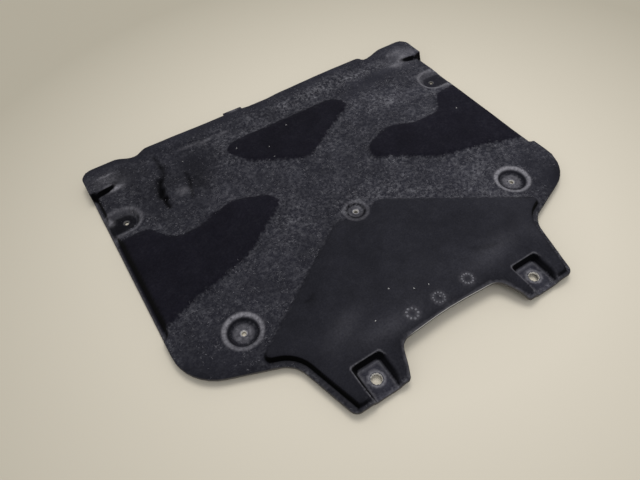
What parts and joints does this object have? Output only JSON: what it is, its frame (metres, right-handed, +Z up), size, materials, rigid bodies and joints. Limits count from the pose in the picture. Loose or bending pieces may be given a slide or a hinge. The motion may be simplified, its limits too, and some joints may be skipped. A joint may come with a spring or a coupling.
{
  "type": "engine skid plate",
  "caption": "Thin pressed felt undertray panel for an engine bay, with raised pads between crossed webs, flanged sides, notched front tabs and fastener holes.",
  "frame": {"origin": "middle of the plate's footprint, at the height of the side flanges' underside", "axes": "+X to the right along the width, +Y from the two front tabs towards the back edge, +Z up out of the raised pads"},
  "size_m": [0.428, 0.3714, 0.0135],
  "materials": {
    "pressed_felt": "matt black needled felt pressed hard in a heated mould, with pale fibres and worn rims"
  },
  "bodies": {
    "root": {"skid_plate": "pressed_felt"}
  },
  "joints": []
}
